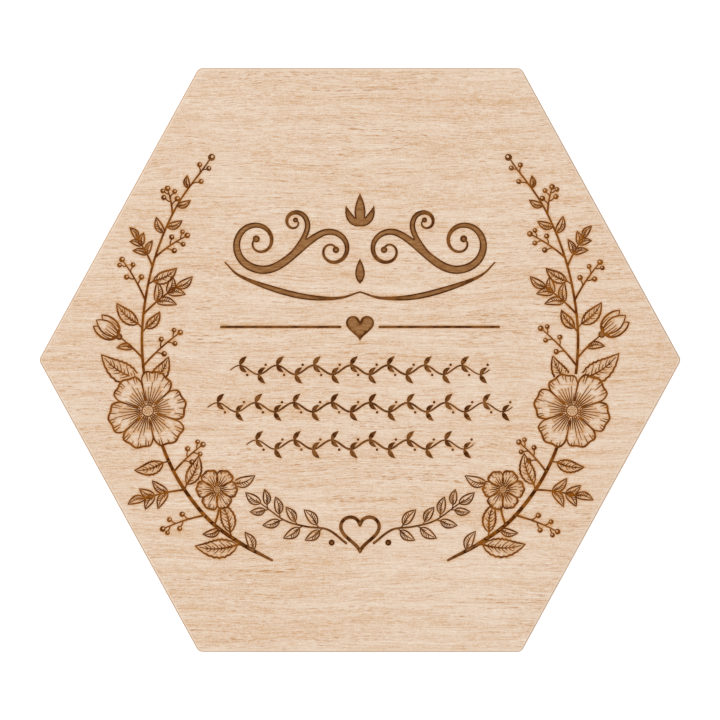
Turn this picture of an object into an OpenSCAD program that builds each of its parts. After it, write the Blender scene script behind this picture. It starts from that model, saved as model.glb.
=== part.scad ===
// Hexagonal keepsake box with a hinged lid.
//
// Six mitred oak walls hold a grooved-in base and stand on felt feet. The lid is one plain panel,
// oak to its edges, glued onto six low mitred rails. Loose tongues lie across the mitres. Two small
// brass butt hinges sit inside the outline, in a V-shaped groove planed along the rear edge, and the
// two faces of that groove meet when the lid is fully open and stop it there. Two pairs of disc
// magnets keep the front shut, over a scoop for the thumb.
//
// Millimetres, +Z up. The origin is on the table, under the middle of the box.
// The front is at -Y and the hinges are at +Y.

/* [Lid outline] */
// Width of the lid over its two side corners, before they are rounded
lid_w = 241; // [220:1:280]
// Depth of the lid from its front side to its rear side
lid_d = 219; // [190:1:250]
// Length of the lid's front side and of its rear side
lid_side_w = 121; // [114:1:135]
// Radius of the lid's six upright corners
lid_corner_r = 2.5; // [1.5:0.5:5]

/* [Lid] */
// Thickness of the lid panel
panel_t = 8; // [6:0.5:12]
// Radius of the panel's rounded upper edge
panel_round = 1.2; // [0.5:0.1:1.4]
// Width of the small chamfer along the panel's lower edge
panel_chamfer = 0.4; // [0.2:0.1:0.6]
// How far the panel stands out past the rails and walls
panel_over = 2; // [1:0.5:4]
// How far the panel's inner field drops between the rails
field_drop = 2; // [1:0.5:4]
// Height of the lid's rails
rail_h = 16; // [12:0.5:30]
// Open joint between the lid and the walls when the lid is shut
lid_gap = 0.3; // [0.2:0.1:0.5]
// Angle at which the two faces of the rear groove meet
stop_deg = 99; // [95:1:110]

/* [Walls] */
// Thickness of the walls and of the lid's rails
wall_t = 10; // [9.5:0.5:14]
// Height of the walls
wall_h = 62; // [50:1:100]
// Radius of the upright corners of the walls and rails
wall_corner_r = 2; // [1:0.5:4]

/* [Base] */
// Thickness of the base panel
base_t = 4; // [3:0.5:6]
// Height of the base panel's groove above the lower edge of the walls
groove_up = 5; // [4:0.5:10]
// Depth of that groove in the walls
groove_deep = 3.5; // [2.5:0.5:4]
// Thickness of the padded lining that lies on the base panel
lining_t = 3; // [2:0.5:6]
// Radius of the lining's upper edge
lining_round = 1.2; // [0.4:0.2:1.6]
// Height of the felt feet
foot_h = 2; // [1:0.5:4]
// Radius of the felt feet
foot_r = 4.2; // [3:0.1:4.6]

/* [Tongues in the mitres] */
// Width of a tongue, across the mitre
tongue_w = 8; // [6:0.5:9]
// Thickness of a tongue, along the mitre
tongue_t = 2.4; // [1.6:0.2:2.8]

/* [Hinges] */
// Length of a hinge along its pin
hinge_len = 25; // [20:1:30]
// Distance from a hinge to the rear wall's inner corner
hinge_edge = 10; // [5:1:16]
// Distance of the pin in from the rear faces of the walls
hinge_inset = 2.8; // [2.4:0.1:3]
// Width of a leaf from the middle of the pin
leaf_w = 5.8; // [5.4:0.1:6.2]
// Thickness of a leaf
leaf_t = 1.1; // [0.9:0.1:1.4]
// Outer radius of the knuckles
barrel_r = 1.7; // [1.5:0.1:1.9]
// Number of knuckles, shared between the two leaves
knuckles = 5; // [3:2:7]
// Radius of the pin
pin_r = 0.8; // [0.6:0.1:1]
// Radius of the pin's flattened ends
pin_head_r = 1.3; // [1.1:0.1:1.5]
// Thickness of the pin's flattened ends
pin_head_t = 0.4; // [0.3:0.1:0.6]

/* [Hinge screws] */
// Distance between a leaf's two screws
screw_pitch = 15; // [12:0.5:16]
// Radius of a screw's countersunk head
screw_head_r = 1.5; // [1.2:0.1:1.6]
// Radius of a screw's shank
screw_r = 0.8; // [0.6:0.1:0.9]
// Length of a screw
screw_len = 8; // [6:0.5:10]
// Length of a screw's pointed tip
screw_tip = 1.6; // [1:0.2:2.4]
// Width of the slot in a screw's head
screw_slot_w = 0.5; // [0.3:0.1:0.7]
// Depth of the slot in a screw's head
screw_slot_deep = 0.4; // [0.2:0.1:0.5]

/* [Magnet catch] */
// Radius of a disc magnet
magnet_r = 3; // [2:0.5:3.5]
// Thickness of a disc magnet
magnet_t = 3; // [2:0.5:5]
// Distance from a magnet's middle to the front wall's inner corner
magnet_edge = 16; // [8:1:22]

/* [Thumb scoop] */
// Width of the scoop along the top edge of the front wall
scoop_w = 28; // [20:1:36]
// Height of the scoop down the front wall
scoop_h = 11; // [8:0.5:13]
// Depth of the scoop into the front wall
scoop_deep = 5.5; // [4.5:0.5:7]

/* [Fits] */
// Room round the base panel in its groove
base_fit = 0.2; // [0.1:0.1:0.4]
// Room between the panel's field and the rails
field_fit = 0.3; // [0.2:0.1:0.8]
// Room between the lining and the walls
lining_fit = 0.4; // [0.2:0.1:1]
// Room round a tongue in its slots
tongue_fit = 0.1; // [0.05:0.05:0.2]
// Room round a leaf in its recess
leaf_fit = 0.15; // [0.1:0.05:0.3]
// Room between a knuckle and the wood round it
barrel_fit = 0.3; // [0.2:0.05:0.4]
// Room between two knuckles
knuckle_gap = 0.15; // [0.1:0.05:0.3]
// Room between the pin and the knuckles
pin_fit = 0.05; // [0.02:0.01:0.08]
// Room round a screw in its leaf and in its pilot hole
screw_fit = 0.05; // [0.02:0.01:0.1]
// Room round a magnet in its pocket
magnet_fit = 0.1; // [0.05:0.05:0.2]

/* [Hidden] */

$fn = 48;
arc_steps = 4; // straight pieces in one rounded upright corner
round_steps = 4; // straight pieces in one rounded edge
cut = 1; // how far a cutting shape runs past the surface that it opens

// The six sides, counter-clockwise as seen from above.
FRONT_RIGHT = 0;
REAR_RIGHT = 1;
REAR = 2;
REAR_LEFT = 3;
FRONT_LEFT = 4;
FRONT = 5;

// Heights, from the table up.
wall_z = foot_h;
wall_top = wall_z + wall_h;
base_z = wall_z + groove_up;
lining_z = base_z + base_t;
axis_z = wall_top + lid_gap / 2;
rail_z = wall_top + lid_gap;
panel_z = rail_z + rail_h;
lid_top = panel_z + panel_t;

// Distances in from the lid's outline.
face_in = panel_over; // outer faces of the walls and rails
middle_in = face_in + wall_t / 2; // middle of the walls and rails
inner_in = face_in + wall_t; // inner faces of the walls and rails
groove_in = inner_in - groove_deep; // bottom of the base panel's groove
field_in = inner_in + field_fit;
lining_in = inner_in + lining_fit;

// The hinge line.
axis_y = lid_d / 2 - face_in - hinge_inset;
bevel_deg = stop_deg / 2;
knuckle_pitch = hinge_len / knuckles;
screw_y = (barrel_r + knuckle_gap + leaf_w) / 2; // screws in the middle of a leaf's flat
head_h = screw_head_r - screw_r; // countersunk at 90 degrees

// The scoop is part of a ball, set out from its width, height and depth.
scoop_half = scoop_w / 2;
scoop_ring = (scoop_half ^ 2 + scoop_deep ^ 2) / (2 * scoop_deep);
scoop_rise = (scoop_half ^ 2 - scoop_h ^ 2) / (2 * scoop_h);
scoop_ball = sqrt(scoop_ring ^ 2 + scoop_rise ^ 2);

oak = [0.88, 0.77, 0.64];
oak_inside = [0.84, 0.72, 0.58];
beech = [0.80, 0.62, 0.44];
felt = [0.74, 0.70, 0.63];
brass = [0.80, 0.62, 0.30];
nickel = [0.76, 0.76, 0.78];

// ---- Hexagon ----

corners = [
    [lid_side_w / 2, -lid_d / 2], [lid_w / 2, 0], [lid_side_w / 2, lid_d / 2],
    [-lid_side_w / 2, lid_d / 2], [-lid_w / 2, 0], [-lid_side_w / 2, -lid_d / 2],
];

function corner(k) = corners[(k + 6) % 6];
function along(k) = let (v = corner(k + 1) - corner(k)) v / norm(v);
function inward(k) = [-along(k)[1], along(k)[0]];
function bearing(v) = atan2(v[1], v[0]);
function turn(k) = acos(inward(k - 1) * inward(k));

// Step along the mitre at corner k for each millimetre in from the outline.
function mitre(k) = (inward(k - 1) + inward(k)) / (1 + inward(k - 1) * inward(k));
function inset_corner(k, inset) = corner(k) + inset * mitre(k);

// Points of the rounded corner k, between two shares of its turn.
function corner_arc(k, inset, r, from = 0, to = 1) = [
    for (i = [0 : arc_steps])
        let (a = bearing(-inward(k - 1)) + turn(k) * (from + (to - from) * i / arc_steps))
        inset_corner(k, inset + r) + r * [cos(a), sin(a)]
];
function outline(inset, r) = [for (k = [0 : 5]) each corner_arc(k, inset, r)];

// The half length of the front or rear side at a distance in from the outline.
function half_side(inset) = inset_corner(REAR_RIGHT + 1, inset)[0];

// ---- Shared shapes ----

// A closed solid through rings of the outline. A ring is [inset, corner radius, height].
module ring_stack(rings) {
    count = 6 * (arc_steps + 1);
    last = len(rings) - 1;
    points = [for (g = rings) each [for (p = outline(g[0], g[1])) [p[0], p[1], g[2]]]];
    sides = [
        for (g = [0 : last - 1], i = [0 : count - 1])
            let (j = (i + 1) % count, low = g * count, high = low + count)
            [low + i, high + i, high + j, low + j]
    ];
    underside = [for (i = [0 : count - 1]) i];
    top = [for (i = [count - 1 : -1 : 0]) last * count + i];
    polyhedron(points = points, faces = concat([underside], sides, [top]), convexity = 4);
}

// Rings that round the upper edge of a solid whose sides stand at inset.
function rounded_rings(inset, corner_r, edge_r, z) = [
    for (i = [0 : round_steps])
        let (a = 90 * i / round_steps, step = edge_r * (1 - cos(a)))
        [inset + step, corner_r - step, z - edge_r + edge_r * sin(a)]
];

// One side of the box or lid: a board mitred at both ends, its outer corners rounded.
module board(k, z, h) {
    outer = concat(
        corner_arc(k, face_in, wall_corner_r, 0.5, 1),
        corner_arc(k + 1, face_in, wall_corner_r, 0, 0.5)
    );
    inner = [inset_corner(k + 1, inner_in), inset_corner(k, inner_in)];
    translate([0, 0, z]) linear_extrude(h) polygon(concat(outer, inner));
}

// The base panel's groove in the inner face of one wall, open at the wall's mitred ends.
module base_groove(k) {
    from = corner(k) + groove_in * inward(k);
    to = corner(k + 1) + groove_in * inward(k);
    out = (inner_in - groove_in + cut) * inward(k);
    translate([0, 0, base_z]) linear_extrude(base_t + base_fit) polygon([from, to, to + out, from + out]);
}

// A tongue across the mitre of corner k, or its slot when it is given some room.
module tongue(k, z, h, room = 0) {
    p = inset_corner(k, middle_in);
    translate([p[0], p[1], z])
        rotate(bearing(mitre(k)))
        translate([-tongue_t / 2 - room, -tongue_w / 2 - room, 0])
        cube([tongue_t + 2 * room, tongue_w + 2 * room, h]);
}

module tongue_slots(k, z, h) {
    for (c = [k, k + 1]) tongue(c, z - cut, h + 2 * cut, tongue_fit);
}

// The wedge that opens the rear joint: its point is the hinge line, and it widens towards the rear.
module rear_groove() {
    reach = hinge_inset + face_in + cut;
    rise = reach * tan(bevel_deg);
    translate([-lid_w / 2, axis_y, axis_z])
        rotate([90, 0, 90])
        linear_extrude(lid_w)
        polygon([[0, 0], [reach, -rise], [reach, rise]]);
}

function is_rear(k) = k == REAR || k == REAR_LEFT || k == REAR_RIGHT;

// ---- Walls and rails ----

module wall(k) {
    color(oak) difference() {
        board(k, wall_z, wall_h);
        base_groove(k);
        tongue_slots(k, wall_z, wall_h);
        if (is_rear(k)) rear_groove();
        if (k == REAR) at_hinges() hinge_recess();
        if (k == FRONT) {
            at_magnets(wall_top - magnet_t) magnet_pocket();
            thumb_scoop();
        }
    }
}

module rail(k) {
    color(oak) difference() {
        board(k, rail_z, rail_h);
        tongue_slots(k, rail_z, rail_h);
        if (is_rear(k)) rear_groove();
        if (k == REAR) at_hinges() mirror([0, 0, 1]) hinge_recess();
        if (k == FRONT) at_magnets(rail_z - cut) magnet_pocket();
    }
}

module corner_tongues(z, h) {
    color(beech) for (k = [0 : 5]) difference() {
        tongue(k, z, h);
        rear_groove();
    }
}

// Part of a ball that stands in the front wall's top outer edge.
module thumb_scoop() {
    front_y = -lid_d / 2 + face_in;
    translate([0, front_y + scoop_deep - scoop_ring, wall_top + scoop_rise]) sphere(scoop_ball, $fn = 96);
}

// ---- Lid panel, base, lining and feet ----

module lid_panel() {
    field_r = 0.6; // radius of the field's upright corners
    lower_edge = [
        [field_in, field_r, panel_z - field_drop],
        [field_in, field_r, panel_z],
        [panel_chamfer, lid_corner_r - panel_chamfer, panel_z],
        [0, lid_corner_r, panel_z + panel_chamfer],
    ];
    color(oak) ring_stack(concat(lower_edge, rounded_rings(0, lid_corner_r, panel_round, lid_top)));
}

module base_panel() {
    plan = [for (k = [0 : 5]) inset_corner(k, groove_in + base_fit)];
    color(oak_inside) translate([0, 0, base_z]) linear_extrude(base_t) polygon(plan);
}

module base_lining() {
    lining_corner_r = lining_round + 0.8;
    foot_ring = [[lining_in, lining_corner_r, lining_z]];
    top_rings = rounded_rings(lining_in, lining_corner_r, lining_round, lining_z + lining_t);
    color(felt) ring_stack(concat(foot_ring, top_rings));
}

module felt_feet() {
    color(felt) for (k = [0 : 5]) {
        p = inset_corner(k, middle_in);
        translate([p[0], p[1], 0]) cylinder(r = foot_r, h = foot_h);
    }
}

// ---- Hinges ----
// A hinge is drawn round its pin: the pin lies along X at the origin and the wood is towards -Y.
// The half that is drawn is the lower one, on the wall. The lid's half is its mirror image in Z,
// with the other knuckles.

hinge_x = half_side(inner_in) - hinge_edge - hinge_len / 2;

module at_hinge(side) {
    translate([side * hinge_x, axis_y, axis_z]) children();
}

module at_hinges() {
    for (side = [-1, 1]) at_hinge(side) children();
}

module at_screws() {
    for (x = [-1, 1]) translate([x * screw_pitch / 2, -screw_y, -lid_gap / 2]) children();
}

// A cylinder along the pin, centred on x.
module along_pin(r, length, x = 0) {
    translate([x - length / 2, 0, 0]) rotate([0, 90, 0]) cylinder(r = r, h = length);
}

// Leaf with every second knuckle, starting at the end knuckle when first is 0.
module hinge_leaf(first) {
    flat_w = leaf_w - barrel_r - knuckle_gap;
    own = [for (i = [first : 2 : knuckles - 1]) (i + 0.5) * knuckle_pitch - hinge_len / 2];
    knuckle_len = knuckle_pitch - knuckle_gap;
    color(brass) difference() {
        union() {
            translate([-hinge_len / 2, -leaf_w, -lid_gap / 2 - leaf_t])
                cube([hinge_len, flat_w, leaf_t]);
            for (x = own) {
                translate([x - knuckle_len / 2, -leaf_w + flat_w / 2, -lid_gap / 2 - leaf_t])
                    cube([knuckle_len, leaf_w - flat_w / 2, leaf_t]);
                along_pin(barrel_r, knuckle_len, x);
            }
        }
        along_pin(pin_r + pin_fit, hinge_len + 2 * cut);
        at_screws() screw_hole();
    }
}

module hinge_pin() {
    color(brass) {
        along_pin(pin_r, hinge_len + pin_head_t);
        for (side = [-1, 1])
            along_pin(pin_head_r, pin_head_t, side * (hinge_len + pin_head_t + knuckle_gap) / 2);
    }
}

// Wood that is cut away for one leaf, the knuckles and the screws.
module hinge_recess() {
    length = hinge_len + 2 * leaf_fit;
    translate([-length / 2, -leaf_w - leaf_fit, -lid_gap / 2 - leaf_t])
        cube([length, leaf_w + leaf_fit, leaf_t + cut]);
    along_pin(barrel_r + barrel_fit, hinge_len + 2 * (pin_head_t + knuckle_gap + barrel_fit));
    at_screws() translate([0, 0, -screw_len - screw_fit]) cylinder(r = screw_r + screw_fit, h = screw_len);
}

// ---- Screws and magnets ----

// A screw points down, with the face of its head at the origin.
module screw() {
    profile = [
        [0, 0], [screw_head_r, 0], [screw_r, -head_h], [screw_r, screw_tip - screw_len], [0, -screw_len],
    ];
    difference() {
        rotate_extrude() polygon(profile);
        translate([-screw_head_r - cut, -screw_slot_w / 2, -screw_slot_deep])
            cube([2 * (screw_head_r + cut), screw_slot_w, screw_slot_deep + cut]);
    }
}

module screw_hole() {
    r = screw_r + screw_fit;
    head_r = screw_head_r + screw_fit;
    translate([0, 0, -leaf_t - cut]) cylinder(r = r, h = leaf_t + 2 * cut);
    translate([0, 0, -head_h]) cylinder(r1 = r, r2 = head_r, h = head_h);
}

module at_magnets(z) {
    x = half_side(inner_in) - magnet_edge;
    y = -lid_d / 2 + middle_in;
    for (side = [-1, 1]) translate([side * x, y, z]) children();
}

module magnet_pocket() {
    cylinder(r = magnet_r + magnet_fit, h = magnet_t + cut);
}

module magnets(z) {
    color(nickel) at_magnets(z) cylinder(r = magnet_r, h = magnet_t);
}

// ---- The assembly ----

lid_panel();
rail(FRONT_RIGHT);  // lid_rail_front_right
rail(REAR_RIGHT);  // lid_rail_rear_right
rail(REAR);  // lid_rail_rear
rail(REAR_LEFT);  // lid_rail_rear_left
rail(FRONT_LEFT);  // lid_rail_front_left
rail(FRONT);  // lid_rail_front
wall(FRONT_RIGHT);  // wall_front_right
wall(REAR_RIGHT);  // wall_rear_right
wall(REAR);  // wall_rear
wall(REAR_LEFT);  // wall_rear_left
wall(FRONT_LEFT);  // wall_front_left
wall(FRONT);  // wall_front
base_panel();
base_lining();
felt_feet();
corner_tongues(wall_z, wall_h);  // corner_tongues_box
corner_tongues(rail_z, rail_h);  // corner_tongues_lid
at_hinge(-1) hinge_leaf(0);  // hinge_left_box_leaf
at_hinge(-1) mirror([0, 0, 1]) hinge_leaf(1);  // hinge_left_lid_leaf
at_hinge(-1) hinge_pin();  // hinge_left_pin
at_hinge(1) hinge_leaf(0);  // hinge_right_box_leaf
at_hinge(1) mirror([0, 0, 1]) hinge_leaf(1);  // hinge_right_lid_leaf
at_hinge(1) hinge_pin();  // hinge_right_pin
color(brass) at_hinges() at_screws() screw();  // hinge_screws_box
color(brass) at_hinges() mirror([0, 0, 1]) at_screws() screw();  // hinge_screws_lid
magnets(wall_top - magnet_t);  // catch_magnets_box
magnets(rail_z);  // catch_magnets_lid
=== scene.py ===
"""The looks of a hexagonal keepsake box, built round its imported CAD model.

Metres, in the CAD frame: the origin is on the table under the middle of the box, the front is at
-Y, the hinges are at +Y. The engraving on the lid is drawn in millimetres round the lid's middle,
with complex numbers as points in the plane, and is cut into the lid's mesh as real pockets.
"""
import cmath
import math
import random

import bmesh
import bpy
import numpy as np
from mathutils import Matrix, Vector
from mathutils.geometry import delaunay_2d_cdt
from mathutils.kdtree import KDTree


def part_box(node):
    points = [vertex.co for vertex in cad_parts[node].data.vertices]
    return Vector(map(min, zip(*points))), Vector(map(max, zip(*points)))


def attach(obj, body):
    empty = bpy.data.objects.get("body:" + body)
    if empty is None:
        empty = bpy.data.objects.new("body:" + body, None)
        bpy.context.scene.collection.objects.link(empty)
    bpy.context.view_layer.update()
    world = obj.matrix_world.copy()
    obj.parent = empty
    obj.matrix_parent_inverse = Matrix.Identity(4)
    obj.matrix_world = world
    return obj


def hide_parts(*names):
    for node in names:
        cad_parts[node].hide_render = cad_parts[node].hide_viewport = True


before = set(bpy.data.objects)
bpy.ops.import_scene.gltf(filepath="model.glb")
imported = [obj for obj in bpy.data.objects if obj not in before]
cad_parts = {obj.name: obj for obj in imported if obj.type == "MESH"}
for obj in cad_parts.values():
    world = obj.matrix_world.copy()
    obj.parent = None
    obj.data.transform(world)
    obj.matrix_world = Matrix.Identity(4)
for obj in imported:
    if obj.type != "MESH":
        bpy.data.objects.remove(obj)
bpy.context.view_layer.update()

MM = 0.001
LID_LOW, LID_HIGH = (Vector(corner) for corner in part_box("lid_panel"))
SAME_PLACE = 0.001 * MM     # corners this close together are one corner
LEVEL = 0.01 * MM           # corners this close in height are level

# ---------------------------------------------------------------- sizes of the finish, in mm

CUT_DEEP = 0.24         # depth of the engraving
OUTLINE = 0.78          # width of an outline in the engraving
HAIR = 0.2              # width at the fine end of a hatch line
RIM = 0.75              # width of the dark rim of a wide cut, partly a hotter burn and partly painted shade
WIDE_LINE = 2.4 * RIM   # width past which a line's rims are cut apart from its middle
STAIN_REACH = 1.2       # how far a cut stains the wood round it
LINE_STEP = 0.8         # length of one straight piece of a curved line
THINNEST = 0.003        # least area of a cut for each mm of its longest side
ARRIS = 0.35            # width of the sanded-off edges of walls and rails
FOOT_EDGE = 0.35        # width of the soft edge of a felt foot
MAGNET_CHAMFER = 0.25   # width of the broken edge of a magnet

# a screw: radius of its head and its shank, length of its tip, rise of its thread, and its slot
SCREW = {"Head": 1.5, "Shank": 0.8, "Tip": 1.6, "Pitch": 0.9, "Slot": 0.5, "Depth": 0.4}


# ---------------------------------------------------------------- colours and node graphs

def srgb(red, green, blue):
    """A colour as it shows on screen, 0 to 255, as the linear RGBA that shaders take."""
    def linear(value):
        value /= 255
        return value / 12.92 if value <= 0.04045 else ((value + 0.055) / 1.055) ** 2.4
    return (linear(red), linear(green), linear(blue), 1.0)


class Value:
    """A number that a node gives out. Each sum done with it adds the node that does the sum."""

    def __init__(self, graph, socket):
        self.graph, self.socket = graph, socket

    def __add__(self, other):
        return self.graph.math("ADD", self, other)

    def __sub__(self, other):
        return self.graph.math("SUBTRACT", self, other)

    def __mul__(self, other):
        return self.graph.math("MULTIPLY", self, other)

    def __truediv__(self, other):
        return self.graph.math("DIVIDE", self, other)


class Graph:
    """Short names for building a node tree."""

    def __init__(self, tree):
        self.tree = tree
        tree.nodes.clear()

    def put(self, node, inputs):
        """Fills inputs, by name or place, each with a fixed value or with what feeds it."""
        for key, value in inputs.items():
            if isinstance(value, Value):
                value = value.socket
            if isinstance(value, bpy.types.NodeSocket):
                self.tree.links.new(value, node.inputs[key])
            else:
                node.inputs[key].default_value = value

    def add(self, kind, inputs=None, **settings):
        node = self.tree.nodes.new(kind)
        for name, value in settings.items():
            setattr(node, name, value)
        self.put(node, inputs or {})
        return node

    def made(self, kind, inputs=None, output=0, **settings):
        """What a new node gives out."""
        return self.add(kind, inputs, **settings).outputs[output]

    def number(self, kind, inputs=None, output=0, **settings):
        """The same for a number, so that sums can be done with it."""
        return Value(self, self.made(kind, inputs, output, **settings))

    def math(self, operation, a, b=0.0, clamp=False):
        return self.number("ShaderNodeMath", {0: a, 1: b}, operation=operation, use_clamp=clamp)

    def vectors(self, operation, a, b):
        return self.made("ShaderNodeVectorMath", {0: a, 1: b}, operation=operation)

    def place(self, x, y, z):
        return self.made("ShaderNodeCombineXYZ", {0: x, 1: y, 2: z})

    def split(self, vector):
        """The X, Y and Z of a vector."""
        return [Value(self, socket) for socket in self.add("ShaderNodeSeparateXYZ", {0: vector}).outputs]

    def noise(self, vector, scale, detail, roughness=0.5, output="Fac"):
        """Noise with its own scale along each axis, in cells a metre."""
        place = self.vectors("MULTIPLY", vector, scale)
        inputs = {"Vector": place, "Scale": 1.0, "Detail": detail, "Roughness": roughness}
        return self.number("ShaderNodeTexNoise", inputs, output)

    def span(self, value, low, high, to_low=0.0, to_high=1.0):
        """value from low..high, as a smooth step, to to_low..to_high."""
        inputs = {"Value": value, "From Min": low, "From Max": high, "To Min": to_low, "To Max": to_high}
        return self.number("ShaderNodeMapRange", inputs, "Result", interpolation_type="SMOOTHSTEP")

    def ramp(self, value, stops):
        node = self.add("ShaderNodeValToRGB", {"Fac": value})
        band = node.color_ramp
        while len(band.elements) < len(stops):
            band.elements.new(0.5)
        for element, (place, colour) in zip(band.elements, stops):
            element.position = place
            element.color = colour
        return node.outputs["Color"]

    def mix(self, factor, a, b, blend="MIX"):
        return self.made("ShaderNodeMix", {0: factor, 6: a, 7: b}, 2, data_type="RGBA", blend_type=blend)

    def bump(self, height, distance, strength):
        return self.made("ShaderNodeBump", {"Height": height, "Distance": distance, "Strength": strength})

    def texture_place(self, kind):
        return self.made("ShaderNodeTexCoord", output=kind)

    def attribute(self, name):
        return self.number("ShaderNodeAttribute", output="Fac", attribute_name=name)


def new_material(name):
    """A material with a plain surface shader, its graph and that shader."""
    material = bpy.data.materials.new(name)
    material.use_nodes = True
    graph = Graph(material.node_tree)
    surface = graph.add("ShaderNodeBsdfPrincipled")
    graph.add("ShaderNodeOutputMaterial", {"Surface": surface.outputs["BSDF"]})
    return material, graph, surface


def object_point(graph, turn=0.0, shift=(0.0, 0.0, 0.0)):
    """Object coordinates turned about Z so that X runs along a board, and shifted."""
    place = graph.texture_place("Object")
    return graph.made("ShaderNodeMapping", {"Vector": place, "Location": shift, "Rotation": (0, 0, -turn)})


# ---------------------------------------------------------------- oak

def oak_grain():
    """A node group: pale oak in the round. Its X runs along the grain; places are in metres."""
    tree = bpy.data.node_groups.new("oak grain", "ShaderNodeTree")
    graph = Graph(tree)
    tree.interface.new_socket("Point", in_out="INPUT", socket_type="NodeSocketVector")
    tree.interface.new_socket("Color", in_out="OUTPUT", socket_type="NodeSocketColor")
    tree.interface.new_socket("Height", in_out="OUTPUT", socket_type="NodeSocketFloat")
    point = graph.made("NodeGroupInput")

    def centred(value, size):
        return (value - 0.5) * size

    # the grain wanders a little off a straight line, in long waves and in short ripples
    place = point
    for scale, reach in (((22, 45, 45), 0.0055), ((260, 420, 420), 0.0003)):
        bend = graph.vectors("SUBTRACT", graph.noise(point, scale, 1, output="Color"), (0.5, 0.5, 0.5))
        place = graph.vectors("ADD", place, graph.vectors("MULTIPLY", bend, (0, reach, reach)))

    # the wood's own lines and patches
    fibre = graph.noise(place, (300, 4200, 4200), 2, 0.65)
    grit = graph.noise(point, (2300, 2700, 2700), 0)
    streak = graph.noise(place, (60, 2300, 2300), 1)
    band = graph.noise(place, (13, 260, 260), 2, 0.6)
    cloud = graph.noise(point, (24, 60, 60), 2)
    ray = graph.noise(point, (420, 210, 210), 2, 0.6)

    # open pores: short dashes, in rows along the grain, thicker in some parts of the board
    row = graph.span(graph.noise(place, (14, 1700, 1700), 1, 0.4), 0.5, 0.68)
    dash = graph.span(graph.noise(place, (330, 3000, 3000), 1, 0.6), 0.52, 0.64)
    field = graph.span(graph.noise(point, (16, 70, 70), 1), 0.3, 0.6, 0.35, 1.0)
    pore = row * dash * field
    vein = graph.span(graph.noise(place, (40, 2900, 2900), 1, 0.4), 0.57, 0.74)
    fleck = graph.span(graph.noise(place, (330, 2600, 2600), 0), 0.68, 0.82)

    tone = centred(fibre, 0.7) + centred(streak, 0.66) + centred(grit, 0.5) + centred(band, 0.55)
    tone = tone + centred(cloud, 0.14) + centred(ray, 0.14) + 0.5
    colour = graph.ramp(tone, [
        (0.0, srgb(204, 154, 107)),
        (0.28, srgb(222, 185, 148)),
        (0.5, srgb(233, 208, 185)),
        (0.72, srgb(239, 219, 199)),
        (1.0, srgb(250, 236, 220)),
    ])
    colour = graph.mix(vein * 0.42, colour, srgb(205, 156, 110))
    colour = graph.mix(pore * 0.85, colour, srgb(194, 138, 84))
    colour = graph.mix(fleck * 0.55, colour, srgb(252, 238, 222))
    graph.add("NodeGroupOutput", {"Color": colour, "Height": fibre * 0.5 - pore})
    return tree


OAK_GRAIN = oak_grain()


def edge_highlight_and_shade(graph, colour, upright):
    """A rounded edge: a painted highlight on its inner, flatter part, and painted shade with a little
    browning on its steep outer part.
    """
    is_top = graph.span(upright, 0.05, 0.25)
    # painted highlight where the round still looks nearly straight up
    edge_highlight = graph.span(upright, 0.998, 0.95, 0.0, 0.45) * is_top
    # painted shade, with a little browning, where the round turns steeply down
    edge_brown_and_shade = graph.span(upright, 0.9, 0.6, 0.0, 0.8) * is_top
    colour = graph.mix(edge_highlight, colour, srgb(250, 236, 220))
    return graph.mix(edge_brown_and_shade, colour, srgb(192, 132, 60))


def burnt_and_shaded(graph, colour, point):
    """The engraving's colours: a golden stain beside the cuts, and brown to nearly black in them; the near
    black at the foot of a wide cut's walls is partly a hotter burn and partly painted shade.
    """
    # the sprays at the sides are burnt hotter than the middle of the lid, and more golden
    x, y, _ = graph.split(graph.texture_place("Object"))
    sideways = graph.math("ABSOLUTE", x)
    centre = graph.span(sideways, 60 * MM, 58 * MM) * graph.span(y, -42 * MM, -40 * MM)
    foot = graph.span(sideways, 46 * MM, 43 * MM)
    inner = graph.math("MAXIMUM", centre, foot)

    golden = graph.mix(inner, srgb(202, 134, 40), srgb(214, 146, 66))
    scorch = graph.span(graph.attribute("stain"), 0.05, 0.9) * graph.span(inner, 0.0, 1.0, 0.95, 0.7)
    colour = graph.mix(scorch, colour, golden)

    # the burn value is 0 on bare wood, 1 in a narrow cut, and in a wide one from 0.5 in its middle to 2 at
    # its walls, where it is partly a hotter burn and partly painted shade in the cut's corner
    char = graph.noise(point, (260, 1500, 1500), 2)
    brown = graph.mix(graph.span(char, 0.3, 0.75), srgb(140, 94, 54), srgb(170, 124, 80))
    press = graph.span(graph.noise(point, (330, 330, 330), 2), 0.32, 0.66)
    hot = graph.mix(press, srgb(104, 50, 5), srgb(152, 88, 20))
    cool = graph.mix(press, srgb(90, 48, 14), srgb(136, 86, 40))
    burn_and_rim_shade = graph.attribute("burn_and_rim_shade")
    colour = graph.mix(graph.span(burn_and_rim_shade, 0.0, 0.5), colour, brown)
    colour = graph.mix(graph.span(burn_and_rim_shade, 0.5, 1.0), colour, graph.mix(inner, hot, cool))
    # near black at the foot of a wide cut's walls: partly a hotter burn, partly painted shade in the corner
    # of the cut
    return graph.mix(graph.span(burn_and_rim_shade, 1.0, 1.8), colour, srgb(66, 28, 1))


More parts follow.
